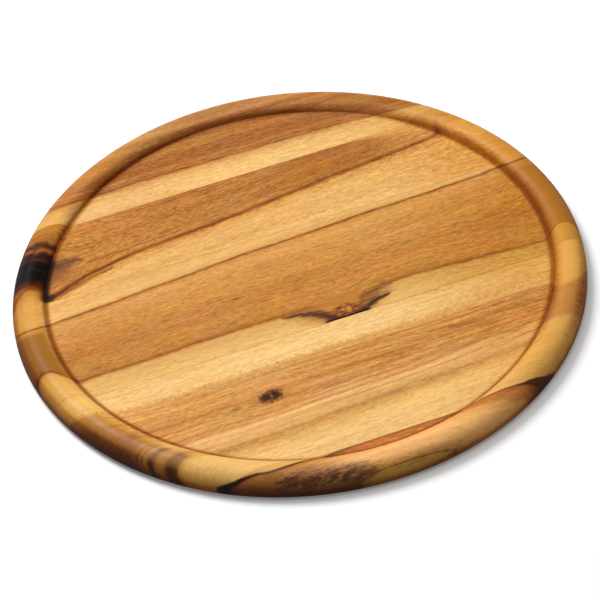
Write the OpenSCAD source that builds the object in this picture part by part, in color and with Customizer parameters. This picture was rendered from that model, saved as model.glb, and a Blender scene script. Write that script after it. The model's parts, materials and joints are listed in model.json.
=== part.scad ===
// Round pizza serving board with a raised rim, edge-glued from five wooden staves and then turned.
// It lies flat with its underside on z = 0 and its centre on the Z axis. The grain runs along X,
// and the staves are counted from the back (+Y) to the front (-Y).

/* [Board] */
// Diameter over the rim
board_d = 320; // [300:1:360]
// Height from the underside to the top of the rim
board_h = 15; // [13:0.5:18]

/* [Serving floor] */
// Thickness of the wood under the flat serving floor
floor_h = 9.5; // [7.5:0.5:10.5]
// Width of the small cove where the floor meets the rim
cove_w = 3; // [2:0.5:6]
// Rise of the cove from the floor to the crease at the foot of the rim
cove_rise = 0.5; // [0.3:0.1:1]

/* [Rim] */
// Radius of the rounded bead that tops the rim
bead_r = 10; // [8:0.5:11]
// Height of the straight band between the bead and the round-over below it
band_h = 1; // [0.5:0.5:1.5]

/* [Staves] */
// Width of the stave at the back
back_stave_w = 65.25; // [50:0.25:80]
// Distance from the centre back to the rear joint of the centre stave
centre_stave_back = 39.25; // [30:0.25:50]
// Distance from the centre forward to the fore joint of the centre stave
centre_stave_front = 41.75; // [30:0.25:50]
// Width of the stave at the front
front_stave_w = 26; // [22:0.5:45]

/* [Glue] */
// Thickness of each glue line
glue_t = 0.15; // [0.1:0.05:0.3]
// Depth of a glue line's edge below the sanded surface
glue_recess = 0.1; // [0.05:0.05:0.3]

/* [Hidden] */
$fn = 180;

board_r = board_d / 2;

// Centre of the bead's circle in the half section, and the round-over left below the band
bead_x = board_r - bead_r;
bead_z = board_h - bead_r;
foot_r = bead_z - band_h;

// Crease where the bead comes down to the cove, and the edge of the flat floor
crease_z = floor_h + cove_rise;
crease_x = bead_x - sqrt(pow(bead_r, 2) - pow(crease_z - bead_z, 2));
floor_r = crease_x - cove_w;
cove_r = (pow(cove_w, 2) + pow(cove_rise, 2)) / (2 * cove_rise);

// Middle planes of the glue joints, from the back to the front
back_joint_y = board_r - back_stave_w;
rear_joint_y = centre_stave_back;
fore_joint_y = -centre_stave_front;
front_joint_y = front_stave_w - board_r;

// Half of the cross-section, drawn in evenly on every side by inset
module half_section(inset = 0) {
    // Wood under the serving floor
    translate([0, inset])
        square([bead_x, floor_h - 2 * inset]);
    // Cove that climbs from the floor to the crease
    difference() {
        translate([floor_r, inset])
            square([bead_x - floor_r, crease_z - 2 * inset]);
        translate([floor_r, floor_h + cove_r])
            circle(cove_r + inset);
    }
    // Bead, above its widest line
    intersection() {
        translate([bead_x, bead_z])
            circle(bead_r - inset);
        translate([bead_x - bead_r, bead_z])
            square([2 * bead_r, bead_r]);
    }
    // Straight band, and the round-over below it
    translate([bead_x, foot_r])
        square([bead_r - inset, band_h]);
    translate([board_r - foot_r, foot_r])
        circle(foot_r - inset);
    // Wood inside the round-over
    translate([floor_r, inset])
        square([board_r - foot_r - floor_r, bead_z - inset]);
}

// The whole board as turned, before it is told apart into staves
module turned_board(inset = 0) {
    rotate_extrude()
        half_section(inset);
}

// Everything between two planes square to Y
module between(front_y, back_y) {
    translate([-board_r, front_y, 0])
        cube([board_d, back_y - front_y, board_h]);
}

// One stave, from the joint in front of it to the joint behind it
module stave(front_y, back_y) {
    intersection() {
        turned_board();
        between(front_y, back_y);
    }
}

// The film of glue that fills a joint, sanded just under the surface
module glue_line(joint_y) {
    color("saddlebrown")
        intersection() {
            turned_board(glue_recess);
            between(joint_y - glue_t / 2, joint_y + glue_t / 2);
        }
}

module back_stave() {
    color("peru")
        stave(back_joint_y + glue_t / 2, board_r);
}

module rear_stave() {
    color("sandybrown")
        stave(rear_joint_y + glue_t / 2, back_joint_y - glue_t / 2);
}

module centre_stave() {
    color("goldenrod")
        stave(fore_joint_y + glue_t / 2, rear_joint_y - glue_t / 2);
}

module fore_stave() {
    color("burlywood")
        stave(front_joint_y + glue_t / 2, fore_joint_y - glue_t / 2);
}

module front_stave() {
    color("sienna")
        stave(-board_r, front_joint_y - glue_t / 2);
}

module back_glue_line() {
    glue_line(back_joint_y);
}

module rear_glue_line() {
    glue_line(rear_joint_y);
}

module fore_glue_line() {
    glue_line(fore_joint_y);
}

module front_glue_line() {
    glue_line(front_joint_y);
}

back_stave();
rear_stave();
centre_stave();
fore_stave();
front_stave();
back_glue_line();
rear_glue_line();
fore_glue_line();
front_glue_line();
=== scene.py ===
"""A round pizza serving board, edge-glued from five wooden staves and turned with a raised bead rim.

The staves run along X, the back of the board is +Y and the underside lies on z = 0. Sizes in the shape
section are in metres; the wood's figure is drawn in millimetres on the board.
"""

import json
import math

import bpy
from mathutils import Matrix, Vector

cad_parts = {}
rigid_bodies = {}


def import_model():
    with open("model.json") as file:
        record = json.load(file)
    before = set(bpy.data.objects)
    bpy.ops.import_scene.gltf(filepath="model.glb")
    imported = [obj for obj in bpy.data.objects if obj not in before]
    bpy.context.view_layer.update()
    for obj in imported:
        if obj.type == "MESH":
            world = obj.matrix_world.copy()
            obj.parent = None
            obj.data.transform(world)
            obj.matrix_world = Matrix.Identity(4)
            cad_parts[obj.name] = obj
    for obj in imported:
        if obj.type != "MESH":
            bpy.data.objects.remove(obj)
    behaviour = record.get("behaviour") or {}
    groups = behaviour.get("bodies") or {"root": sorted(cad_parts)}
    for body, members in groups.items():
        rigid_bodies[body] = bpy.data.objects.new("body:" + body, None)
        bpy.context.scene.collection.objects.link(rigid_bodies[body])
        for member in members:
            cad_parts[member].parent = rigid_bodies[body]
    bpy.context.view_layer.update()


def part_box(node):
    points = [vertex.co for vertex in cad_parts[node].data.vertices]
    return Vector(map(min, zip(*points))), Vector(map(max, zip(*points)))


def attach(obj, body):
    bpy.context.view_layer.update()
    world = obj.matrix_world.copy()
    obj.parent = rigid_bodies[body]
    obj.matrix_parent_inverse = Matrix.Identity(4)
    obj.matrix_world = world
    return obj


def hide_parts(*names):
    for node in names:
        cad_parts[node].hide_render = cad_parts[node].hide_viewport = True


for leftover in list(bpy.data.objects):
    bpy.data.objects.remove(leftover)
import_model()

MM = 0.001

# Sizes of the board, in metres
BOARD_R = 160 * MM
BOARD_H = 15 * MM
FLOOR_H = 9.5 * MM
COVE_W = 3 * MM
COVE_RISE = 0.5 * MM
BEAD_R = 10 * MM
BAND_H = 1 * MM
GLUE_RECESS = 0.1 * MM

# How finely the board is turned: steps round it, and steps in each arc of its section
ROUND_STEPS = 720
ARC_STEPS = 40
# Points closer than this are one point, in the section and round the turned board
SECTION_WELD = 0.001 * MM
BOARD_WELD = 0.01 * MM
# Edges that bend more than this stay sharp, in degrees
SHARP_BEND = 28


class Value:
    """A number or vector in a node tree. Sums with it add Math nodes to that tree."""

    def __init__(self, tree, socket):
        self.tree = tree
        self.socket = socket

    def math(self, operation, *others):
        node = self.tree.nodes.new("ShaderNodeMath")
        node.operation = operation
        for slot, item in zip(node.inputs, (self, *others)):
            plug(self.tree, slot, item)
        return Value(self.tree, node.outputs[0])

    def __add__(self, other):
        return self.math("ADD", other)

    __radd__ = __add__

    def __sub__(self, other):
        return self.math("SUBTRACT", other)

    def __rsub__(self, other):
        return (self * -1.0) + other

    def __mul__(self, other):
        return self.math("MULTIPLY", other)

    def __truediv__(self, other):
        return self.math("DIVIDE", other)

    def __neg__(self):
        return self * -1.0


def plug(tree, slot, item):
    """Links a Value to a socket, or writes a plain number, vector or choice into it."""
    if isinstance(item, Value):
        tree.links.new(item.socket, slot)
    else:
        slot.default_value = item


def add(tree, kind, inputs=(), out=0, **settings):
    """Adds a node, sets it up and returns one of its outputs."""
    node = tree.nodes.new(kind)
    for name, value in settings.items():
        setattr(node, name, value)
    for key, item in dict(inputs).items():
        plug(tree, node.inputs[key], item)
    return Value(tree, node.outputs[out])


def turning_tree():
    """Turns the board's half section about Z and keeps what lies between two planes square to Y."""
    tree = bpy.data.node_groups.new("turned_between_planes", "GeometryNodeTree")
    tree.interface.new_socket("Geometry", in_out="OUTPUT", socket_type="NodeSocketGeometry")
    sizes = {}
    for name in (
        "Board radius", "Board height", "Floor height", "Cove width", "Cove rise",
        "Bead radius", "Band height", "Inset", "Front plane", "Back plane",
    ):
        sizes[name] = tree.interface.new_socket(name, in_out="INPUT", socket_type="NodeSocketFloat")
    for name in ("Segments", "Arc steps"):
        sizes[name] = tree.interface.new_socket(name, in_out="INPUT", socket_type="NodeSocketInt")
    sizes["Wood"] = tree.interface.new_socket("Wood", in_out="INPUT", socket_type="NodeSocketMaterial")

    given = tree.nodes.new("NodeGroupInput")
    size = {name: Value(tree, given.outputs[name]) for name in sizes}
    radius, inset, steps = size["Board radius"], size["Inset"], size["Arc steps"]

    def point(x, y):
        return add(tree, "ShaderNodeCombineXYZ", {0: x, 1: y})

    def line(start, end):
        return add(tree, "GeometryNodeCurvePrimitiveLine", {"Start": point(*start), "End": point(*end)})

    def arc(centre, r, start, sweep):
        drawn = add(
            tree, "GeometryNodeCurveArc",
            {"Resolution": steps, "Radius": r, "Start Angle": start, "Sweep Angle": sweep},
            mode="RADIUS",
        )
        return add(tree, "GeometryNodeTransform", {"Geometry": drawn, "Translation": point(*centre)})

    # The same section as the solid's: underside, round-over, band, bead, crease, cove and floor
    bead_x = radius - size["Bead radius"]
    bead_z = size["Board height"] - size["Bead radius"]
    foot_r = bead_z - size["Band height"]
    crease_z = size["Floor height"] + size["Cove rise"]
    bead_r = size["Bead radius"] - inset
    side_x = radius - inset
    lift = crease_z - bead_z
    floor_r = bead_x - (size["Bead radius"].math("POWER", 2.0) - lift.math("POWER", 2.0)).math("SQRT")
    floor_r = floor_r - size["Cove width"]
    cove_r = size["Cove width"].math("POWER", 2.0) + size["Cove rise"].math("POWER", 2.0)
    cove_r = cove_r / (size["Cove rise"] * 2.0)
    bead_end = ((lift - inset) / bead_r).math("ARCSINE")
    cove_sweep = ((cove_r - size["Cove rise"] + inset) / (cove_r + inset)).math("ARCCOSINE")
    floor_z = size["Floor height"] - inset
    crease_top = crease_z - inset
    cove_x = floor_r + (cove_r + inset) * cove_sweep.math("SINE")
    bead_in = bead_x - bead_r * bead_end.math("COSINE")

    parts = [
        line((0.0, inset), (radius - foot_r, inset)),
        arc((radius - foot_r, foot_r), foot_r - inset, -math.pi / 2, math.pi / 2),
        line((side_x, foot_r), (side_x, bead_z)),
        arc((bead_x, bead_z), bead_r, 0.0, math.pi - bead_end),
        line((bead_in, crease_top), (cove_x, crease_top)),
        arc((floor_r, size["Floor height"] + cove_r), cove_r + inset, -math.pi / 2, cove_sweep),
        line((floor_r, floor_z), (0.0, floor_z)),
    ]
    joined = tree.nodes.new("GeometryNodeJoinGeometry")
    for part in parts:
        edge = add(tree, "GeometryNodeCurveToMesh", {"Curve": part})
        tree.links.new(edge.socket, joined.inputs[0])
    outline = Value(tree, joined.outputs[0])
    outline = add(tree, "GeometryNodeMergeByDistance", {"Geometry": outline, "Distance": SECTION_WELD})
    outline = add(tree, "GeometryNodeMeshToCurve", {"Mesh": outline})
    outline = add(tree, "GeometryNodeTransform", {"Geometry": outline, "Translation": point(-radius, 0.0)})

    path = add(tree, "GeometryNodeCurvePrimitiveCircle", {"Resolution": size["Segments"], "Radius": radius})
    turned = add(tree, "GeometryNodeCurveToMesh", {"Curve": path, "Profile Curve": outline})
    turned = add(tree, "GeometryNodeMergeByDistance", {"Geometry": turned, "Distance": BOARD_WELD})
    # The section comes out of the path hanging down, so the turned board is rolled over
    turned = add(tree, "GeometryNodeTransform", {"Geometry": turned, "Rotation": (math.pi, 0.0, 0.0)})

    depth = size["Back plane"] - size["Front plane"]
    slab = add(
        tree, "GeometryNodeMeshCube",
        {"Size": add(tree, "ShaderNodeCombineXYZ", {0: radius * 3.0, 1: depth, 2: radius})},
    )
    middle = (size["Back plane"] + size["Front plane"]) * 0.5
    slab = add(tree, "GeometryNodeTransform", {"Geometry": slab, "Translation": point(0.0, middle)})
    cut = tree.nodes.new("GeometryNodeMeshBoolean")
    cut.operation = "INTERSECT"
    cut.solver = "EXACT"
    tree.links.new(turned.socket, cut.inputs["Mesh 2"])
    tree.links.new(slab.socket, cut.inputs["Mesh 2"])

    smooth = Value(tree, cut.outputs[0])
    smooth = add(tree, "GeometryNodeSetShadeSmooth", {"Geometry": smooth, "Shade Smooth": True})
    bend = add(tree, "GeometryNodeInputMeshEdgeAngle")
    sharp = add(tree, "FunctionNodeCompare", {0: bend, 1: math.radians(SHARP_BEND)}, operation="GREATER_THAN")
    smooth = add(
        tree, "GeometryNodeSetShadeSmooth",
        {"Geometry": smooth, "Selection": sharp, "Shade Smooth": False}, domain="EDGE",
    )
    whole = add(tree, "GeometryNodeRealizeInstances", {"Geometry": smooth})
    dressed = add(tree, "GeometryNodeSetMaterial", {"Geometry": whole, "Material": size["Wood"]})
    made = tree.nodes.new("NodeGroupOutput")
    tree.links.new(dressed.socket, made.inputs[0])
    return tree, {name: item.identifier for name, item in sizes.items()}


def turned_piece(name, node, wood, front, back, inset=0.0):
    """One stave or glue line as a plain mesh that stands for its CAD node."""
    carrier = bpy.data.objects.new(name + "_carrier", bpy.data.meshes.new(name + "_carrier"))
    bpy.context.scene.collection.objects.link(carrier)
    modifier = carrier.modifiers.new("turning", "NODES")
    modifier.node_group = TURNING
    for key, value in {
        "Board radius": BOARD_R, "Board height": BOARD_H, "Floor height": FLOOR_H,
        "Cove width": COVE_W, "Cove rise": COVE_RISE, "Bead radius": BEAD_R, "Band height": BAND_H,
        "Inset": inset, "Front plane": front, "Back plane": back,
        "Segments": ROUND_STEPS, "Arc steps": ARC_STEPS, "Wood": wood,
    }.items():
        modifier[TURNING_INPUTS[key]] = value
    bpy.context.view_layer.update()
    evaluated = carrier.evaluated_get(bpy.context.evaluated_depsgraph_get())
    mesh = bpy.data.meshes.new_from_object(evaluated)
    mesh.name = name
    bpy.data.objects.remove(carrier)
    piece = bpy.data.objects.new(name, mesh)
    bpy.context.scene.collection.objects.link(piece)
    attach(piece, "root")
    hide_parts(node)
    return piece


# The wood's figure, drawn in millimetres


def seen(red, green, blue):
    """A colour as it looks, 0 to 255 a channel, as the linear colour that a shader takes."""

    def linear(channel):
        share = channel / 255
        return share / 12.92 if share <= 0.04045 else ((share + 0.055) / 1.055) ** 2.4

    return (linear(red), linear(green), linear(blue), 1.0)


# Half of the length that a course is drawn over, the height of the serving floor and the rim's radius
HALF_SPAN = 165.0
FLOOR_Z = 9.5
RIM_RADIUS = 160.0
# What a coat of oil lets through of each colour
OIL_TINT = (1.0, 0.985, 0.90, 1.0)
# How much of each colour the wood loses where it is darkened fully
DARK_RED, DARK_GREEN, DARK_BLUE = 0.58, 0.78, 0.98
# Sheen of the oiled wood: how strongly it mirrors, and how rough oiled wood and dry glue are
MIRRORING = 0.14
OILED_ROUGHNESS = 0.37
GLUE_ROUGHNESS = 0.6
# Depth of the pores and fibres, in metres
RELIEF_DEPTH = 0.15 * MM


class Figure:
    """The figure of one piece of wood, in millimetres.

    X runs along the grain and w across it, bent round its knots. Seeds only shift the noise.
    """

    def __init__(self, name):
        self.material = bpy.data.materials.new(name)
        self.material.use_nodes = True
        self.tree = self.material.node_tree
        place = add(self.tree, "ShaderNodeTexCoord", out="Object")
        place = add(self.tree, "ShaderNodeVectorMath", {0: place, "Scale": 1 / MM}, operation="SCALE")
        axes = self.tree.nodes.new("ShaderNodeSeparateXYZ")
        plug(self.tree, axes.inputs[0], place)
        self.x, self.y, self.z = (Value(self.tree, axes.outputs[i]) for i in range(3))
        self.up = self.z - FLOOR_Z
        self.radius = (self.x * self.x + self.y * self.y).math("SQRT")
        self.w = self.y
        self.colour = None

    # Measures

    def ramp(self, value, low, high):
        """0 at low, 1 at high, with soft ends."""
        return add(
            self.tree, "ShaderNodeMapRange",
            {"Value": value, "From Min": low, "From Max": high}, interpolation_type="SMOOTHSTEP",
        )

    def along(self, low, high):
        """0 at the first place along X, 1 at the second."""
        return self.ramp(self.x, low, high)

    def across(self, low, high):
        """The same along Y."""
        return self.ramp(self.y, low, high)

    def through(self, low, high):
        """The same across the fibres, with their bends."""
        return self.ramp(self.w, low, high)

    def upward(self, low, high):
        """The same along Z."""
        return self.ramp(self.z, low, high)

    def outward(self, low, high):
        """The same away from the board's centre."""
        return self.ramp(self.radius, low, high)

    def hump(self, value, centre, width):
        """1 at the centre, falling away smoothly on both sides."""
        off = (value - centre) / width
        return (off * off * -1.0).math("EXPONENT")

    def grain(self, along, across, seed, detail=2.0, roughness=0.5, height=None):
        """Noise drawn out along the grain, from -1 to 1."""
        place = add(
            self.tree, "ShaderNodeCombineXYZ",
            {0: self.x / along + seed * 7.3, 1: self.w / across, 2: self.z / (height or across) + seed},
        )
        noise = add(
            self.tree, "ShaderNodeTexNoise",
            {"Vector": place, "Scale": 1.0, "Detail": detail, "Roughness": roughness},
        )
        return (noise - 0.5) * 2.0

    def course(self, *points):
        """A line that runs along the grain: how far across it lies at each place along X."""
        low = min(y for _, y in points)
        span = max(max(y for _, y in points) - low, 1.0)
        node = self.tree.nodes.new("ShaderNodeFloatCurve")
        curve = node.mapping.curves[0]
        spots = [((x + HALF_SPAN) / (2 * HALF_SPAN), (y - low) / span) for x, y in points]
        curve.points[0].location = spots[0]
        curve.points[1].location = spots[-1]
        for spot in spots[1:-1]:
            curve.points.new(*spot)
        node.mapping.extend = "HORIZONTAL"
        node.mapping.update()
        plug(self.tree, node.inputs["Value"], (self.x + HALF_SPAN) / (2 * HALF_SPAN))
        return Value(self.tree, node.outputs[0]) * span + low

    def stroke(self, line, thickness, frayed=None, soft=0.7):
        """Share of a brush stroke: its middle line and half thickness, each as points along X."""
        off = (self.y - self.course(*line)).math("ABSOLUTE") / self.course(*thickness)
        if frayed:
            off = off + frayed * 0.6
        inside = self.along(line[0][0] - 1.0, line[0][0] + 1.0)
        inside = inside * self.along(line[-1][0] + 1.0, line[-1][0] - 1.0)
        return self.ramp(off, 1.0 + soft, 1.0 - soft) * inside

    def oval(self, x, y, half_x, half_y, tilt=0.0):
        """Distance from the middle of an oval, 1 on its edge."""
        turn = math.radians(tilt)
        right, back = self.x - x, self.y - y
        along = (right * math.cos(turn) + back * math.sin(turn)) / half_x
        across = (back * math.cos(turn) - right * math.sin(turn)) / half_y
        return (along * along + across * across).math("SQRT")

    # Colours

    def tones(self, value, *stops):
        """A colour for each place: stops are (place, colour)."""
        low, high = stops[0][0], stops[-1][0]
        node = self.tree.nodes.new("ShaderNodeValToRGB")
        marks = node.color_ramp.elements
        while len(marks) < len(stops):
            marks.new(0.5)
        for mark, (place, colour) in zip(marks, stops):
            mark.position = (place - low) / (high - low)
            mark.color = seen(*colour)
        plug(self.tree, node.inputs[0], (value - low) / (high - low))
        return Value(self.tree, node.outputs[0])

    def blend(self, first, second, share, way="MIX"):
        return add(
            self.tree, "ShaderNodeMix", {0: share, 6: first, 7: second}, out=2,
            data_type="RGBA", blend_type=way,
        )

    def paint(self, colour, share):
        """Covers that share of the figure with a colour."""
        if isinstance(colour, tuple):
            colour = seen(*colour)
        self.colour = self.blend(self.colour, colour, share)

    def tint(self, red, green, blue):
        """Multiplies the figure's colour, a factor for each channel."""
        factors = add(self.tree, "ShaderNodeCombineColor", {0: red, 1: green, 2: blue})
        self.colour = self.blend(self.colour, factors, 1.0, "MULTIPLY")

    def darken(self, share):
        """Deepens the wood by a share. Blue goes first and red last, as wood darkens."""
        self.tint(1.0 - share * DARK_RED, 1.0 - share * DARK_GREEN, 1.0 - share * DARK_BLUE)

    def fleck(self, x, y, half_x, half_y, depth=0.6):
        """A short dark mark along the grain."""
        self.darken(self.ramp(self.oval(x, y, half_x, half_y), 1.3, 0.3) * depth)

    def growth_line(self, off, thickness, depth, seed):
        """The uneven dark line where heartwood meets sapwood."""
        uneven = self.grain(14.0, 40.0, seed, detail=2.0) * 1.8 + 1.0
        fuzzy = off + self.grain(3.5, 1.5, seed + 0.5, detail=1.0) * 1.1
        fuzzy = fuzzy + self.grain(9.0, 40.0, seed + 0.7) * 1.2
        self.darken(self.hump(fuzzy, 0.0, thickness) * uneven * depth)

    # What every stave has

    def curl(self, seed):
        """How far the fibres bend aside, in millimetres: long sweeps with small curls on them."""
        return self.grain(110.0, 26.0, seed) + self.grain(17.0, 5.0, seed + 0.5, detail=1.0) * 0.5

    def clouds(self, seed, heart):
        """Patches of redder and of yellower wood, stronger in heartwood."""
        ruddy = self.grain(32.0, 8.0, seed) * (heart * 0.18 + 0.05)
        yellow = self.grain(32.0, 11.0, seed + 0.5) * (heart * 0.32 + 0.16)
        self.tint(1.0 + ruddy * 0.5, 1.0 - ruddy * 0.4, 1.0 - ruddy * 0.2 - yellow)

    def fibres(self, seed, bands=0.16, streaks=0.30, fineness=1.0):
        """Growth bands, streaks, short fibres, ripple across the grain and pores."""
        green = add(self.tree, "ShaderNodeSeparateColor", {0: self.colour}, out=1)
        heart = self.ramp(green, 0.46, 0.24)
        broad = self.grain(240.0, 6.5, seed + 1.0)
        middle = self.grain(60.0, 2.2, seed + 2.0, detail=2.0, height=4.0)
        fine = self.grain(12.0, 1.3, seed + 3.0, detail=2.0, roughness=0.6, height=3.0)
        thread = self.grain(3.6, 0.9, seed + 4.0, detail=1.0, height=3.0)
        ripple = self.grain(1.6, 2.4, seed + 5.0, detail=1.0)
        patchy = self.ramp(self.grain(30.0, 9.0, seed + 6.0, detail=1.0), -0.2, 0.4)
        # The rim is sanded smooth, its ends most, where the fibres are cut across
        self.ends = self.x * self.x / RIM_RADIUS**2
        smooth = 1.0 - self.outward(142.0, 147.0) * (self.ends * 0.35 + 0.35)
        small = fine * 0.62 + thread * 0.75 + ripple * patchy * 0.4
        small = (middle * streaks + small * fineness) * (heart * 0.5 + 0.58)
        self.darken(broad * bands + small * smooth)
        dash = self.grain(7.0, 0.5, seed + 7.0, detail=0.0, height=2.5)
        self.pore = self.ramp(dash + broad * 0.15, 0.26, 0.66) * smooth
        self.darken(self.pore * (heart * 0.2 + 0.25))
        rings = self.grain(70.0, 1.1, seed + 9.0, detail=2.0, height=25.0)
        self.darken(rings * self.outward(141.5, 146.0) * self.ends * (heart * 0.5 + 0.3))
        self.fine = (fine + thread) * smooth
        self.clouds(seed + 8.0, heart)

    def rim_shade_and_oil(self):
        """Painted shade in and beside the crease, partly a real stain there; oil soaked into the ends;
        painted light on the left bead's inner half; painted shade down the rim's outer side.
        """
        left = self.along(-60.0, -130.0)
        right = self.along(60.0, 140.0)
        # Painted shade on the bead's inner flank: deepest at the back, which faces away from the window lamp,
        # lighter on the pale wood at the back right, and stronger at the right end
        back = self.ramp(self.y * 0.9 + self.x * 0.4, -70.0, 90.0)
        pale_part = self.hump(self.x, 82.0, 26.0) * self.across(80.0, 110.0)
        flank = self.outward(146.0, 141.6) * (1.0 - pale_part * 0.7) * (1.0 - left)
        flank = flank * (back * 0.45 + 0.18) + self.outward(148.0, 141.5) * right * 0.35
        flank = flank * self.outward(140.8, 141.4)
        # A dark line in the crease: painted shade, partly a real stain
        groove = self.hump(self.radius, 141.0, 1.4) * (1.0 - pale_part * 0.6)
        groove = groove * (left * 0.14 + right * 0.08 + 0.68)
        groove = groove + self.hump(self.radius, 141.0, 0.7) * right * (1.0 - pale_part) * 0.3
        # Painted shade on the cove just inside the crease, at the front and at the left end
        front = self.across(0.0, -90.0)
        cove_shade = self.outward(137.6, 140.4) * self.outward(141.6, 141.0)
        cove_shade = cove_shade * (front * 0.3 + left * 0.36)
        self.stain_and_shade = (flank + groove + cove_shade).math("MINIMUM", 0.92) * self.upward(9.0, 9.4)
        self.darken(self.stain_and_shade)
        amber = self.hump(self.radius, 142.0, 3.0) * right * self.across(-100.0, -60.0)
        self.tint(1.0, 1.0, 1.0 - amber * 0.5)
        # Painted light on the inner half of the left bead
        painted_light = self.outward(141.8, 143.5) * self.outward(152.0, 147.0)
        self.darken(painted_light * left * -0.25)
        rim = self.outward(141.5, 146.0)
        self.darken(rim * self.ends * 0.14)
        self.tint(1.0, 1.0 - rim * (self.ends * 0.07 + 0.01), 1.0 - rim * (self.ends * 0.34 + 0.08))

        # Painted shade on the outer half of the rim, deeper towards its lower edge and a little deeper at the
        # cut ends
        side = self.outward(153.0, 159.5)
        front_right = self.ramp(self.x - self.y * 0.7, 60.0, 180.0)
        self.darken(side * self.upward(13.0, 4.5) * (self.ends * 0.15 - front_right * 0.3 + 0.6))
        self.darken(self.upward(8.5, 4.0) * self.outward(154.0, 158.0) * 0.8)
        # Painted shade high on the outer side at the back and the left end, and on the left bead's outer half
        away = self.ramp(self.y - self.x * 0.9, -40.0, 60.0) * 0.22 + left * 0.3
        self.darken(self.outward(154.5, 157.5) * self.upward(13.2, 11.0) * away)
        self.darken(self.outward(150.0, 156.0) * left * 0.14)

    def dress(self, roughness=OILED_ROUGHNESS):
        """Joins colour, sheen and relief to the wood's shader."""
        shader = self.tree.nodes["Principled BSDF"]
        shader.inputs["Specular IOR Level"].default_value = MIRRORING
        plug(self.tree, shader.inputs["Base Color"], self.blend(self.colour, OIL_TINT, 1.0, "MULTIPLY"))
        worn = self.grain(9.0, 7.0, 9.0, detail=3.0, height=7.0)
        # The rim's outer side is cut across the fibres and duller than its top
        dull = self.outward(153.0, 158.5) * 0.35 + self.stain_and_shade * 0.35 + self.pore * 0.25
        rough = worn * 0.16 + self.fine * 0.04 + dull + roughness
        plug(self.tree, shader.inputs["Roughness"], rough)
        relief = self.fine * 0.4 - self.pore
        bump = {"Strength": 0.5, "Distance": RELIEF_DEPTH, "Height": relief}
        bump = add(self.tree, "ShaderNodeBump", bump)
        plug(self.tree, shader.inputs["Normal"], bump)
        return self.material


def back_stave_wood():
    """Reddish-brown heartwood with a pale sapwood edge along the back joint."""
    wood = Figure("back_stave_wood")
    edge = wood.course((-120, 113), (-80, 113.5), (-50, 114), (0, 113), (50, 112.5), (80, 111), (120, 108))
    wood.w = wood.y - edge + 113.0 + wood.up * 1.1 + wood.curl(11.0) * 1.3
    lines = wood.w + wood.grain(70.0, 3.0, 12.0) * 0.8
    wood.colour = wood.tones(
        lines,
        (94, (238, 187, 119)), (101, (246, 198, 128)), (107, (240, 188, 118)), (110.5, (228, 170, 100)),
        (112.5, (206, 144, 80)), (113.6, (170, 104, 50)), (115, (192, 128, 68)), (116.5, (170, 102, 48)),
        (118, (190, 124, 66)), (120.5, (168, 102, 47)), (125, (172, 106, 50)), (128, (176, 112, 56)),
        (131.5, (184, 122, 62)), (135, (182, 118, 58)), (138, (172, 108, 52)), (142, (194, 132, 74)),
        (146, (176, 112, 58)), (150, (206, 146, 90)), (156, (190, 130, 76)), (168, (170, 112, 62)),
    )
    wood.paint((226, 168, 92), wood.along(55.0, 115.0) * wood.through(116.0, 108.0) * 0.8)
    wood.growth_line(wood.w - 113.8, 1.2, 0.3, 14.0)
    left_sap = wood.along(-10.0, -60.0) * wood.through(114.0, 110.0)
    wood.tint(1.0 - left_sap * 0.06, 1.0 - left_sap * 0.1, 1.0 - left_sap * 0.08)
    left_rim = wood.outward(144.0, 149.0) * wood.along(-20.0, -60.0)
    wood.paint((224, 160, 100), left_rim * wood.through(112.0, 118.0) * 0.4)
    wood.fibres(1.0, bands=0.15, streaks=0.34, fineness=1.08)
    mark = wood.oval(-77, 138.5, 5.0, 1.7)
    wood.paint((48, 28, 18), wood.ramp(mark, 1.2, 0.6) * wood.upward(14.0, 12.0) * 0.95)
    wood.rim_shade_and_oil()
    return wood.dress()


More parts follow.
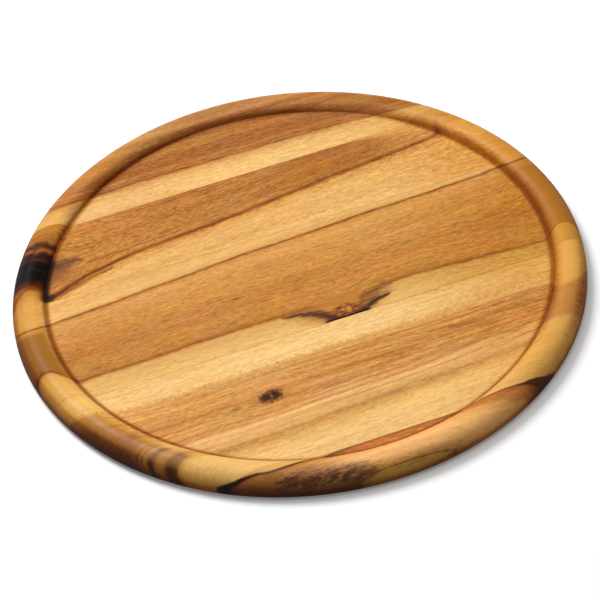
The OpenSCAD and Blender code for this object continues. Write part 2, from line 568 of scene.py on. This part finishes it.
def rear_stave_wood():
    """Brown heartwood over golden sapwood, with a black knot that the left rim cuts through."""
    wood = Figure("rear_stave_wood")
    line = wood.course(
        (-135, 41), (-125, 44), (-118, 47.3), (-110, 50.5), (-100, 53), (-90, 55), (-80, 57), (-60, 58.7),
        (-40, 60.3), (-20, 62), (0, 64.7), (20, 67.3), (40, 70), (60, 72), (80, 73.8), (100, 76),
        (115, 78.5), (135, 82),
    ) + wood.up * 1.5
    wander = wood.curl(21.0)
    wood.w = wood.y + (62.0 - line) * wood.hump(wood.y, line, 24.0) + wander
    off = wood.y - line + wander * 1.2 + wood.grain(50.0, 2.5, 22.0) * 0.7
    wood.colour = wood.tones(
        off,
        (-24, (238, 184, 114)), (-16, (236, 180, 106)), (-10, (238, 184, 114)), (-5, (231, 172, 96)),
        (-1.8, (216, 152, 80)), (-0.6, (182, 118, 56)), (0.5, (160, 98, 42)), (2.0, (186, 122, 58)),
        (4.5, (202, 138, 70)), (9, (188, 122, 60)), (14, (196, 130, 66)), (20, (180, 114, 54)),
        (26, (192, 126, 64)), (32, (184, 118, 58)), (40, (196, 130, 66)),
    )
    heart = wood.ramp(off, -0.5, 3.0)
    wood.paint((201, 134, 62), heart * wood.along(-40.0, -85.0) * 0.7)
    wood.paint((176, 106, 50), heart * wood.ramp(wood.oval(58, 80, 58, 17, 3.0), 1.3, 0.2) * 0.6)
    wood.paint((216, 152, 82), heart * wood.along(72.0, 100.0) * 0.8)
    pale = wood.course(
        (40, 99), (60, 95.5), (70, 93.5), (80, 91.5), (90, 89.5), (100, 87.5), (112, 83), (135, 76),
    )
    wood.paint((228, 168, 94), wood.ramp(wood.y - pale + wander, -1.0, 3.0) * wood.along(45.0, 60.0))
    wood.paint((222, 154, 68), wood.ramp(off, 0.0, -6.0) * wood.along(60.0, 135.0) * 0.8)
    wood.growth_line(off + 0.1, 1.8, 0.4, 26.0)
    left_gold = wood.outward(141.5, 146.0) * wood.along(-110.0, -130.0)
    wood.darken(left_gold * wood.ramp(off, 2.0, -4.0) * 0.2)
    wood.fibres(2.0, bands=0.2, streaks=0.34, fineness=1.15)
    wood.darken(wood.along(12.0, 30.0) * wood.across(86.0, 90.0) * heart * 0.12)
    wood.fleck(11, 72.5, 12.0, 0.9, 0.35)
    wood.paint((168, 142, 92), wood.ramp(wood.oval(-12, 80, 5.5, 2.6), 1.3, 0.2) * 0.35)

    fray = wood.grain(6.0, 2.0, 23.0, detail=2.0)
    streak = ((-104, 61.5), (-80, 62.8), (-60, 64), (-46, 65))
    wood.darken(wood.stroke(streak, ((-104, 0.7), (-46, 0.6)), fray, 0.9) * 0.5)
    lower = ((-133, 41), (-125, 43), (-115, 45.8), (-105, 48.8), (-92, 51.5))
    wood.darken(wood.stroke(lower, ((-133, 2.2), (-92, 0.9)), fray) * 0.75)
    upper = ((-131, 43), (-120, 47.2), (-110, 50.6), (-98, 53.4), (-80, 57))
    wood.darken(wood.stroke(upper, ((-131, 1.6), (-80, 1.0)), fray) * 0.55)

    # Stain that the knot leaves on the serving floor
    wood.paint((150, 92, 48), wood.ramp(wood.oval(-122, 57, 12, 9) + fray * 0.5, 1.3, 0.3) * 0.6)
    smudge = ((-131, 6.5), (-120, 5.0), (-112, 2.8), (-105, 0.6))
    smudge = wood.stroke(((-131, 66), (-118, 66.5), (-105, 65)), smudge, fray, 0.95)
    wood.paint((104, 58, 44), smudge * 0.85)
    # A dark spot where the crease line ends below the knot: painted shade
    wood.paint((48, 24, 18), wood.ramp(wood.oval(-133, 42, 5.5, 3.5, 25.0) + fray * 0.4, 1.3, 0.4) * 0.9)

    # The knot itself, in bands across the rim
    rough = wood.grain(5.0, 5.0, 25.0, detail=3.0)
    place = wood.y + (wood.x + 133.0) * 0.25 + fray * 1.0 + rough * 3.2
    knot = wood.tones(
        place,
        (44, (190, 128, 58)), (46.5, (146, 84, 38)), (49, (92, 42, 22)), (52, (72, 28, 18)),
        (54.5, (26, 15, 14)), (60, (10, 7, 8)), (62.5, (26, 20, 19)), (65, (9, 7, 8)), (69.5, (20, 12, 12)),
        (71.5, (84, 40, 26)), (73, (42, 23, 20)), (75.5, (50, 26, 20)), (77, (136, 74, 36)),
        (79, (176, 100, 48)), (80.5, (116, 62, 34)), (82.5, (66, 38, 28)), (84, (116, 70, 40)),
        (87, (180, 120, 58)),
    )
    rim = wood.outward(140.6, 141.8) * wood.along(-105.0, -112.0)
    wood.darken(rim * wood.ramp(place, 50.0, 44.0) * 0.2)
    ends = wood.ramp(place, 43.0, 47.0) * wood.ramp(place, 88.0, 84.0)
    wood.paint(knot, rim * ends)
    mottle = wood.ramp(wood.grain(7.0, 3.0, 27.0, detail=3.0, height=7.0), -0.1, 0.25)
    mottle = mottle * wood.ramp(place, 66.0, 72.0) * wood.outward(142.0, 148.0)
    wood.paint((50, 26, 24), rim * ends * mottle * 0.85)
    wood.darken(rim * wood.ramp(place, 84.0, 88.0) * wood.ramp(place, 97.0, 88.0) * 0.3)
    # Painted shade along the crease beside the knot
    crease = wood.hump(wood.radius, 140.6, 2.1) * wood.along(-116.0, -124.0)
    wood.paint((28, 14, 13), crease * wood.across(40.0, 44.0) * wood.across(76.0, 68.0) * 0.9)
    wood.rim_shade_and_oil()
    return wood.dress()


def centre_stave_wood():
    """Orange-brown heartwood between two pale edges, with half a knot at its fore joint."""
    wood = Figure("centre_stave_wood")
    back = wood.course(
        (-160, 20.7), (-139, 21.7), (-130, 22.5), (-110, 23.6), (-100, 24.1), (-80, 25.9), (-60, 27.2),
        (-40, 28.8), (-20, 29.9), (0, 30.7), (30, 32), (60, 33.3), (80, 33.6), (100, 34.5), (120, 35.3),
        (137, 37), (155, 38.5),
    ) - wood.up * 1.0
    fore = wood.course(
        (-158, -18.5), (-148, -23.5), (-139, -27), (-120, -26.3), (-100, -26.5), (-80, -25.5), (-40, -25.3),
        (-20, -26), (20, -25.5), (40, -25), (60, -25), (70, -25.5), (90, -27.5), (110, -29), (130, -31),
        (140, -31.5), (155, -30),
    ) + wood.up * 0.9
    side = wood.across(-18.0, 22.0)
    wander = wood.curl(31.0)
    # The fibres dip into the throat of the knot
    dip = wood.hump(wood.x, 18.0, 15.0) * wood.hump(wood.y, -27.0, 11.0)
    lean = (29.0 - back) * side + (-26.5 - fore) * (1.0 - side)
    wood.w = wood.y + lean + wander * 0.8 + dip * 5.0
    lines = wood.w + wood.grain(60.0, 2.5, 32.0) * 0.5
    wood.colour = wood.tones(
        lines,
        (-42, (238, 188, 116)), (-36, (232, 182, 110)), (-30, (228, 174, 102)), (-28.4, (212, 152, 80)),
        (-27.2, (176, 112, 50)), (-26, (184, 118, 54)), (-24, (200, 134, 64)), (-18, (207, 140, 68)),
        (-8, (202, 135, 65)), (0, (208, 142, 70)), (8, (215, 150, 77)), (16, (221, 157, 84)),
        (24, (226, 162, 90)), (27.6, (216, 152, 80)), (28.8, (168, 108, 48)), (29.4, (176, 114, 54)),
        (30.6, (232, 176, 106)), (34, (241, 188, 118)), (41, (237, 180, 110)),
    )
    heart = wood.through(-29.0, -24.0) * wood.through(29.0, 20.0)
    wood.paint((196, 122, 44), heart * wood.along(40.0, 160.0) * 0.8)
    wood.paint((208, 146, 60), wood.through(-26.0, -30.0) * wood.along(30.0, 110.0) * 0.85)
    wood.growth_line(wood.w - 29.0, 0.8, 0.34, 33.0)
    wood.growth_line(wood.w + 26.8, 0.9, 0.32, 34.0)
    wood.fibres(3.0, bands=0.2, streaks=0.24, fineness=0.82)
    wood.darken(wood.ramp(wood.oval(122, -2, 26, 11) + wood.grain(9.0, 3.0, 37.0), 1.3, 0.2) * 0.16)
    wood.darken(wood.along(-70.0, -120.0) * heart * 0.11)
    wood.tint(1.0, 1.0 + wood.along(20.0, 80.0) * 0.03, 1.0)
    wood.fleck(-37, -2.5, 3.0, 0.9)
    pale = wood.stroke(((56, 10), (66, 11), (78, 12.3)), ((56, 0.8), (78, 0.6)), None, 0.9)
    wood.paint((232, 176, 104), pale * 0.5)

    # Half a knot, cut off by the joint
    fray = wood.grain(4.0, 2.0, 35.0, detail=2.0)
    swirl = wood.grain(3.5, 2.0, 36.0, detail=3.0)
    zone = wood.oval(14, -34, 27, 10.5) + fray * 0.2
    wood.paint((200, 130, 54), wood.ramp(zone, 1.2, 0.6) * 0.8)
    body = wood.oval(14.5, -41, 12.5, 9.5) + fray * 0.25
    mottled = wood.tones(
        swirl, (-0.5, (62, 30, 20)), (-0.15, (118, 64, 34)), (0.1, (160, 92, 44)), (0.5, (212, 140, 62)),
    )
    wood.paint(mottled, wood.ramp(body, 1.12, 0.85) * 0.95)
    wing = ((21, -36), (26, -34.5), (31, -32.6), (36, -31.4), (42, -30.8), (47, -30.5))
    wing = wood.stroke(wing, ((21, 5.5), (30, 4.6), (40, 3.4), (47, 1.6)), fray)
    wing = wing * wood.along(49.0, 33.0)
    combed = wood.grain(9.0, 0.8, 38.0, detail=1.0)
    wood.paint((136, 84, 48), wing * (combed * 0.9 + 0.75))
    wood.paint((74, 40, 30), wing * wood.ramp(combed, 0.0, 0.4) * 0.6)
    above = ((24, -31), (30, -29.2), (36, -28.4), (46, -27.4))
    wood.paint((104, 58, 30), wood.stroke(above, ((24, 0.8), (34, 0.8), (46, 0.5)), fray) * 0.6)
    left = ((-20, -28.2), (-12, -29.2), (-6, -31), (0, -33.5), (4, -36.8), (9, -41.5))
    haze = ((-20, 1.6), (-12, 2.6), (-5, 4.0), (1, 5.0), (5, 5.0), (9, 4.0))
    wood.paint((150, 92, 46), wood.stroke(left, haze, fray + combed, 0.9) * 0.6)
    thick = ((-20, 0.5), (-12, 1.1), (-5, 1.9), (1, 3.0), (5, 3.2), (9, 2.4))
    wood.paint((70, 36, 28), wood.stroke(left, thick, fray + combed, 0.8) * 0.88)
    right = ((19, -41.8), (24, -40.8), (30, -37.3), (36, -35.2), (42, -34.2))
    thick = ((19, 1.6), (26, 2.1), (34, 1.5), (42, 0.6))
    wood.paint((50, 25, 20), wood.stroke(right, thick, fray + combed * 0.6, 0.8) * 0.92)
    base = wood.stroke(((1, -41.4), (27, -41.4)), ((1, 0.7), (14, 1.0), (27, 0.7)), fray, 0.4)
    wood.paint((22, 12, 12), base)

    # The ends of this stave, where the rim cuts through it
    rim = wood.outward(141.5, 147.0)
    wood.paint((158, 106, 48), heart * rim * wood.along(-120.0, -138.0) * 0.85)
    border = wood.hump(wood.w + fray, -26.0, 4.5) * wood.upward(12.5, 9.0)
    border = border + wood.hump(wood.w + fray, -27.5, 1.3)
    wood.darken(border * rim * wood.along(-120.0, -138.0) * 0.75)
    right_rim = rim * wood.along(110.0, 132.0)
    wood.paint((186, 126, 54), heart * right_rim * 0.75)
    wood.paint((220, 154, 74), wood.through(29.0, 31.0) * right_rim * 0.8)
    wood.paint((224, 163, 86), wood.through(-26.0, -29.0) * right_rim * 0.8)
    wood.darken(wood.through(30.0, 32.0) * rim * wood.along(-120.0, -138.0) * 0.16)
    wood.paint((214, 146, 60), wood.ramp(wood.oval(16.5, -36, 1.6, 2.6) + fray * 0.5, 1.3, 0.5) * 0.85)
    wood.paint((206, 132, 58), wood.ramp(wood.oval(22.5, -30.5, 2.6, 4.5) + fray * 0.5, 1.3, 0.4) * 0.7)
    wood.rim_shade_and_oil()
    return wood.dress()


# The line on the two front staves below which their wood is dark, from the left to the right rim
DARK_EDGE = (
    (-100, -127), (-93, -130.2), (-84, -133.7), (-73, -135.7), (-60, -138), (-50, -137.5), (-40, -136.3),
    (-25, -134.2), (0, -134), (60, -133.8), (74, -133.4), (83, -131.6), (90, -130), (96, -127.4), (105, -121),
)


def fore_stave_wood():
    """Pinkish heartwood with arching rings and a small eye knot, between two pale edges."""
    wood = Figure("fore_stave_wood")
    upper = wood.course(
        (-150, -55.5), (-135, -58.5), (-120, -60), (-100, -61), (0, -60.5), (60, -61.5), (100, -61),
        (130, -63), (150, -64),
    ) - wood.up * 0.4
    lower = wood.course(
        (-130, -110), (-100, -109), (-50, -109), (0, -107), (50, -104.5), (90, -102.5), (130, -98),
    ) + wood.up * 0.6
    side = wood.across(-104.0, -66.0)
    wander = wood.curl(41.0)
    eye_x, eye_y = -45.5, -81.5
    part = wood.y - eye_y
    bulge = wood.hump(wood.x, eye_x, 13.0) * wood.hump(part, 0.0, 9.0) * part * -0.45
    lean = (-60.5 - upper) * side + (-107.0 - lower) * (1.0 - side)
    wood.w = wood.y + lean + wander * 1.0 + bulge
    # Rings that close in arches towards +X, as a flat-sawn board shows them
    past = (wood.x - 5.0).math("MAXIMUM", 0.0) * 0.17
    ring = (part * part + past * past).math("SQRT") + wander * 0.8
    lines = wood.w + wood.grain(60.0, 2.2, 42.0) * 0.9
    wood.colour = wood.tones(
        lines,
        (-135, (244, 194, 124)), (-126, (249, 201, 132)), (-118, (246, 196, 124)), (-113, (238, 186, 112)),
        (-109.5, (220, 162, 94)), (-107.5, (208, 146, 82)), (-104, (230, 174, 108)), (-98, (236, 180, 114)),
        (-92, (220, 158, 92)), (-84, (213, 150, 82)), (-76, (214, 150, 82)), (-68, (221, 158, 88)),
        (-62, (226, 164, 96)), (-59.5, (230, 174, 104)), (-57.5, (246, 198, 128)), (-50, (252, 208, 144)),
        (-41, (246, 198, 126)),
    )
    heart = wood.through(-106.0, -98.0) * wood.through(-60.0, -66.0)
    arched = heart * wood.along(-60.0, 0.0)
    for spot, wide, depth in (
        (4.2, 1.9, 0.36), (9.2, 0.9, 0.22), (13.2, 1.0, 0.42), (17.5, 0.9, 0.28), (20.5, 0.8, 0.28),
    ):
        wood.darken(wood.hump(ring, spot, wide) * arched * depth)
    wood.paint((204, 134, 66), heart * wood.along(40.0, 105.0) * 0.6)
    wood.paint((226, 168, 88), wood.through(-66.0, -58.0) * wood.along(30.0, 120.0) * 0.85)
    wood.paint((228, 168, 86), wood.through(-104.0, -112.0) * wood.along(20.0, 110.0) * 0.75)
    wide_end = (wood.x.math("ABSOLUTE") - 40.0) / 60.0
    wide_end = wood.ramp(wide_end, 0.0, 1.0) * wood.through(-62.0, -56.0)
    wood.tint(1.0 - wide_end * 0.03, 1.0 - wide_end * 0.07, 1.0 - wide_end * 0.14)
    wood.fibres(4.0, bands=0.18, streaks=0.42, fineness=0.92)
    wood.darken(wood.grain(150.0, 2.2, 48.0, detail=1.0) * heart * 0.7)
    fringe = wood.grain(1.6, 3.0, 45.0) * wood.hump(wood.w, -58.5, 3.0)
    wood.darken(fringe * 0.7)

    # Small eye knot, and the fleck to its left
    rough = wood.grain(4.0, 1.6, 46.0, detail=3.0)
    torn = wood.grain(1.8, 1.8, 47.0, detail=2.0)
    halo = wood.oval(eye_x, eye_y, 13.0, 5.5) + rough * 0.3
    wood.paint((190, 124, 62), wood.ramp(halo, 1.3, 0.4) * 0.6)
    wood.paint((206, 152, 70), wood.ramp(wood.oval(-36.5, -80.5, 4.5, 2.2) + rough * 0.4, 1.3, 0.4) * 0.6)
    eye = wood.oval(eye_x, eye_y, 7.0, 4.6, 6.0) + torn * 0.5
    wood.paint((110, 60, 36), wood.ramp(eye, 1.3, 0.7) * 0.9)
    for x, half_x in ((eye_x - 2.6, 3.0), (eye_x + 2.2, 2.7)):
        core = wood.oval(x, eye_y, half_x, 3.0) + torn * 0.5
        wood.paint((54, 30, 25), wood.ramp(core, 1.3, 0.6) * 0.9)
    slit = wood.oval(eye_x + 0.2, eye_y - 0.2, 0.8, 1.3) + torn * 0.3
    wood.paint((146, 104, 76), wood.ramp(slit, 1.3, 0.6) * 0.7)
    wood.fleck(-65.5, -83, 3.6, 1.6)

    # Brown heartwood where the left rim cuts through it, with dark growth lines
    outer = wood.upward(14.3, 10.5)
    rim = wood.outward(146.0, 150.0) * wood.along(-94.0, -106.0)
    brown = wood.tones(
        wood.w + rough * 0.3 - 1.8,
        (-118, (214, 162, 86)), (-115, (192, 138, 72)), (-113.8, (96, 56, 32)), (-111.2, (58, 34, 24)),
        (-109.4, (110, 68, 40)), (-108, (178, 124, 68)), (-105.6, (190, 136, 76)), (-103.8, (142, 90, 48)),
        (-102.9, (56, 30, 24)), (-101.6, (72, 38, 28)), (-100.4, (160, 106, 58)), (-99.4, (190, 136, 76)),
        (-98.4, (132, 86, 48)), (-97.2, (188, 134, 76)), (-95.8, (136, 88, 50)), (-94.5, (186, 130, 72)),
        (-92, (146, 92, 50)), (-84, (156, 100, 54)),
        (-72, (176, 122, 62)), (-62, (182, 128, 64)), (-60, (222, 166, 86)),
    )
    inside = wood.through(-115.0, -112.5) * wood.through(-59.5, -61.5)
    wood.paint(brown, rim * inside * (outer * 0.35 + 0.6))
    dusk = wood.ramp(wood.w + rough, -99.0, -92.0) * wood.ramp(wood.w + rough, -62.0, -72.0)
    wood.paint((96, 54, 38), rim * outer * dusk * (rough * 0.6 + 0.6))

    # Lighter wood at the right rim, partly a painted highlight
    pale_end = wood.outward(142.0, 148.0) * wood.along(96.0, 124.0)
    wood.paint((255, 200, 122), pale_end * wood.outward(158.0, 154.0) * 0.75)
    # A brown band that crosses the right rim
    right_rim = wood.outward(140.5, 142.5) * wood.along(90.0, 108.0)
    across = wood.y + wood.up * 1.5 + wander * 0.5 + rough * 0.7
    gold = wood.ramp(across, -67.0, -63.5) * right_rim * wood.outward(153.0, 146.0)
    wood.tint(1.0 - gold * 0.09, 1.0 - gold * 0.16, 1.0 - gold * 0.18)
    band = wood.ramp(across, -63.5, -67.0) * wood.ramp(wood.y + wander + rough, -98.0, -94.0)
    band = band * right_rim
    wood.tint(1.0 - band * 0.28, 1.0 - band * 0.41, 1.0 - band * 0.42)

    # Dark wood where the front rim meets the front joint
    edge = wood.y - wood.course(*DARK_EDGE)
    wood.paint((92, 54, 34), wood.ramp(edge + rough * 0.3, 0.4, -0.3) * wood.along(40.0, 60.0))
    below = wood.ramp(edge + rough * 0.3, 0.6, -0.3) * wood.along(-50.0, -62.0)
    wood.paint((112, 66, 38), below)
    wood.paint((30, 18, 14), below * wood.ramp(edge + rough, -5.0, -2.0))
    wood.rim_shade_and_oil()
    return wood.dress()


def front_stave_wood():
    """Red-brown wood with dark knot marks on the rim and a sliver of sapwood at the very front."""
    wood = Figure("front_stave_wood")
    wander = wood.grain(80.0, 16.0, 51.0)
    fray = wood.grain(9.0, 1.6, 52.0, detail=3.0)
    wood.w = wood.y + wander * 1.2
    lines = wood.w + wood.grain(40.0, 1.8, 53.0) * 0.8
    wood.colour = wood.tones(
        lines,
        (-166, (214, 166, 84)), (-158.4, (214, 166, 86)), (-157.8, (150, 100, 50)), (-157.2, (214, 154, 88)),
        (-153, (254, 190, 126)), (-148, (255, 194, 130)), (-144, (248, 182, 114)), (-141, (236, 168, 102)),
        (-139, (204, 132, 72)), (-137, (208, 128, 68)), (-135.6, (196, 116, 60)), (-134.6, (184, 108, 58)),
        (-133.6, (164, 98, 54)),
    )
    wood.fibres(5.0, bands=0.2, streaks=0.6, fineness=1.0)
    wood.paint((182, 122, 58), wood.along(-20.0, -60.0) * wood.across(-137.0, -141.0) * 0.55)
    edge = wood.y - wood.course(*DARK_EDGE)
    wood.paint((236, 184, 112), wood.ramp(edge, -0.2, 0.4))
    seam = wood.hump(edge + 0.6, 0.0, 0.9) * wood.along(-10.0, -50.0)
    wood.paint((60, 34, 20), seam * 0.9)
    wedge = wood.ramp(edge + fray * 0.6, -2.3, -0.5) * wood.ramp(edge, 0.3, -0.2)
    wedge = wedge * wood.along(-66.0, -84.0)
    wood.paint((30, 18, 14), wedge * 0.95)
    amber = wood.ramp(wood.oval(-72, -142, 16, 8, -28.0) + fray * 0.3, 1.2, 0.5)
    wood.paint((158, 104, 44), amber * wood.ramp(edge, -1.0, -2.5) * 0.7)
    # Thin dark streaks one after the other along the rim, in a browner haze
    scratchy = wood.grain(4.0, 0.7, 54.0, detail=3.0)
    dotted = wood.grain(2.0, 0.9, 55.0)
    haze = wood.oval(-40, -151.0, 34, 7.0, -15.0) + fray * 0.5 + scratchy * 0.4
    haze = wood.ramp(haze, 1.3, 0.1) * wood.across(-158.4, -157.6)
    wood.paint((120, 70, 42), haze * (dotted * 0.5 + 0.8))
    for x, y, half_x, half_y in ((-57, -146.6, 9, 3.4), (-46, -150.8, 11, 3.2), (-25, -154.6, 13, 4.6)):
        patch = wood.ramp(wood.oval(x, y, half_x, half_y, -9.0) + scratchy * 1.4, 1.3, 0.2)
        wood.paint((84, 46, 34), patch * wood.across(-158.4, -157.6) * 0.5)
    for start, end, half in (
        ((-65, -144.0), (-54, -146.2), 0.9), ((-61, -147.0), (-51.5, -148.7), 0.8),
        ((-53, -149.4), (-42.5, -151.0), 1.2), ((-40, -153.6), (-32.5, -152.2), 1.0),
        ((-33, -155.1), (-23, -153.0), 1.1), ((-27, -156.9), (-16.5, -156.5), 0.8),
    ):
        thick = ((start[0], 0.15), ((start[0] + end[0]) / 2, half), (end[0], 0.15))
        wood.paint((62, 32, 25), wood.stroke((start, end), thick, scratchy * 2.0 + dotted) * 0.6)
    # Painted shade low on the front rim, deeper towards its lower edge, over the dark wood of the knot marks
    low = wood.upward(12.0, 7.0) * wood.along(-10.0, -30.0)
    wood.paint((74, 42, 24), low * 0.5)
    dusk = wood.oval(92, -131, 14, 6, 35.0) + fray * 0.4
    wood.paint((92, 52, 38), wood.ramp(dusk, 1.3, 0.4) * 0.85)
    wood.rim_shade_and_oil()
    return wood.dress()


def glue_finish():
    """Cured wood glue, brown and dull."""
    wood = Figure("cured_glue")
    cloud = wood.grain(8.0, 8.0, 61.0)
    wood.colour = wood.tones(cloud, (-1, (120, 78, 40)), (1, (160, 108, 56)))
    wood.pore = wood.ramp(cloud, 0.3, 0.9)
    wood.fine = cloud
    wood.stain_and_shade = wood.ramp(cloud, -0.2, 0.6) * 0.3
    return wood.dress(GLUE_ROUGHNESS)


TURNING, TURNING_INPUTS = turning_tree()

WOODS = {
    "back_stave": back_stave_wood, "rear_stave": rear_stave_wood, "centre_stave": centre_stave_wood,
    "fore_stave": fore_stave_wood, "front_stave": front_stave_wood,
}
for stave, figure in WOODS.items():
    low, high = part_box(stave)
    turned_piece(stave.replace("_stave", "_board_stave"), stave, figure(), low.y, high.y)
glued = glue_finish()
for glue in ("back_glue_line", "rear_glue_line", "fore_glue_line", "front_glue_line"):
    low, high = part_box(glue)
    turned_piece(glue + "_film", glue, glued, low.y, high.y, GLUE_RECESS)


# The table, the lamps and the camera


# Half of the table's width in metres, and its height: a hair under the board, so that no face of it lies in
# the board's underside
TABLE_REACH = 12.0
TABLE_Z = -0.05 * MM
# The table's grey as light falls on it, and its white and glow as it is seen
TABLE_GREY = 0.5
TABLE_WHITE = 0.97
TABLE_GLOW = 0.14
# Light from all round, where 1 is white
STUDIO_GLOW = 0.15


def table_top():
    """A plain pale table. To the camera it is white, and it keeps the board's shadow."""
    mesh = bpy.data.meshes.new("table_top")
    sides = ((-1, -1), (1, -1), (1, 1), (-1, 1))
    corners = [(x * TABLE_REACH, y * TABLE_REACH, TABLE_Z) for x, y in sides]
    mesh.from_pydata(corners, [], [(0, 1, 2, 3)])
    table = bpy.data.objects.new("table_top", mesh)
    bpy.context.scene.collection.objects.link(table)
    paint = bpy.data.materials.new("table_white")
    paint.use_nodes = True
    tree = paint.node_tree
    tree.nodes.remove(tree.nodes["Principled BSDF"])
    path = tree.nodes.new("ShaderNodeLightPath")
    shown = Value(tree, path.outputs["Is Camera Ray"])
    for ray in ("Is Glossy Ray", "Is Transmission Ray"):
        shown = (shown + Value(tree, path.outputs[ray])).math("MINIMUM", 1.0)
    pale = shown * (TABLE_WHITE - TABLE_GREY) + TABLE_GREY
    pale = add(tree, "ShaderNodeCombineColor", {0: pale, 1: pale, 2: pale})
    matt = add(tree, "ShaderNodeBsdfDiffuse", {"Color": pale})
    glow = add(tree, "ShaderNodeEmission", {"Color": (1, 1, 1, 1), "Strength": shown * TABLE_GLOW})
    both = add(tree, "ShaderNodeAddShader", {0: matt, 1: glow})
    plug(tree, tree.nodes["Material Output"].inputs["Surface"], both)
    mesh.materials.append(paint)


def lamp(name, place, size, power):
    """A round soft lamp that faces the board."""
    light = bpy.data.lights.new(name, "AREA")
    light.shape = "DISK"
    light.size = size
    light.energy = power
    holder = bpy.data.objects.new(name, light)
    holder.location = place
    holder.rotation_euler = (-Vector(place)).to_track_quat("-Z", "Y").to_euler()
    bpy.context.scene.collection.objects.link(holder)


# Half of the picture's width in pixels, the width of the camera's sensor in millimetres and its reach
HALF_FRAME = 300.0
SENSOR = 36.0
CAMERA_REACH = 30.0


def camera(azimuth, elevation, roll, distance, focal, middle):
    """A camera that sees the board's centre at the pixel `middle`. Angles in degrees, focal in pixels."""
    turn, tip, lean = (math.radians(angle) for angle in (azimuth, elevation, roll))
    back = Vector((math.sin(turn) * math.cos(tip), -math.cos(turn) * math.cos(tip), math.sin(tip)))
    level = Vector((math.cos(turn), math.sin(turn), 0.0))
    upright = back.cross(level)
    right = level * math.cos(lean) + upright * math.sin(lean)
    up = upright * math.cos(lean) - level * math.sin(lean)
    place = back * distance
    place -= right * (middle[0] - HALF_FRAME) * distance / focal
    place += up * (middle[1] - HALF_FRAME) * distance / focal
    data = bpy.data.cameras.new("camera")
    data.sensor_width = SENSOR
    data.lens = focal / (2 * HALF_FRAME) * SENSOR
    data.clip_end = CAMERA_REACH
    seat = bpy.data.objects.new("camera", data)
    seat.matrix_world = Matrix.Translation(place) @ Matrix((right, up, back)).transposed().to_4x4()
    bpy.context.scene.collection.objects.link(seat)
    bpy.context.scene.camera = seat


table_top()
camera(azimuth=-16.0, elevation=43.3, roll=-6.32, distance=1.673, focal=3000.0, middle=(299.35, 288.85))
lamp("window_light", place=(-0.60, 1.02, 1.75), size=1.0, power=36.5)
lamp("ceiling_light", place=(0.0, -0.15, 1.80), size=1.4, power=8.0)

scene = bpy.context.scene
scene.view_settings.view_transform = "Standard"
world = bpy.data.worlds.new("studio")
world.use_nodes = True
world.node_tree.nodes["Background"].inputs["Color"].default_value = (1.0, 1.0, 1.0, 1.0)
world.node_tree.nodes["Background"].inputs["Strength"].default_value = STUDIO_GLOW
scene.world = world
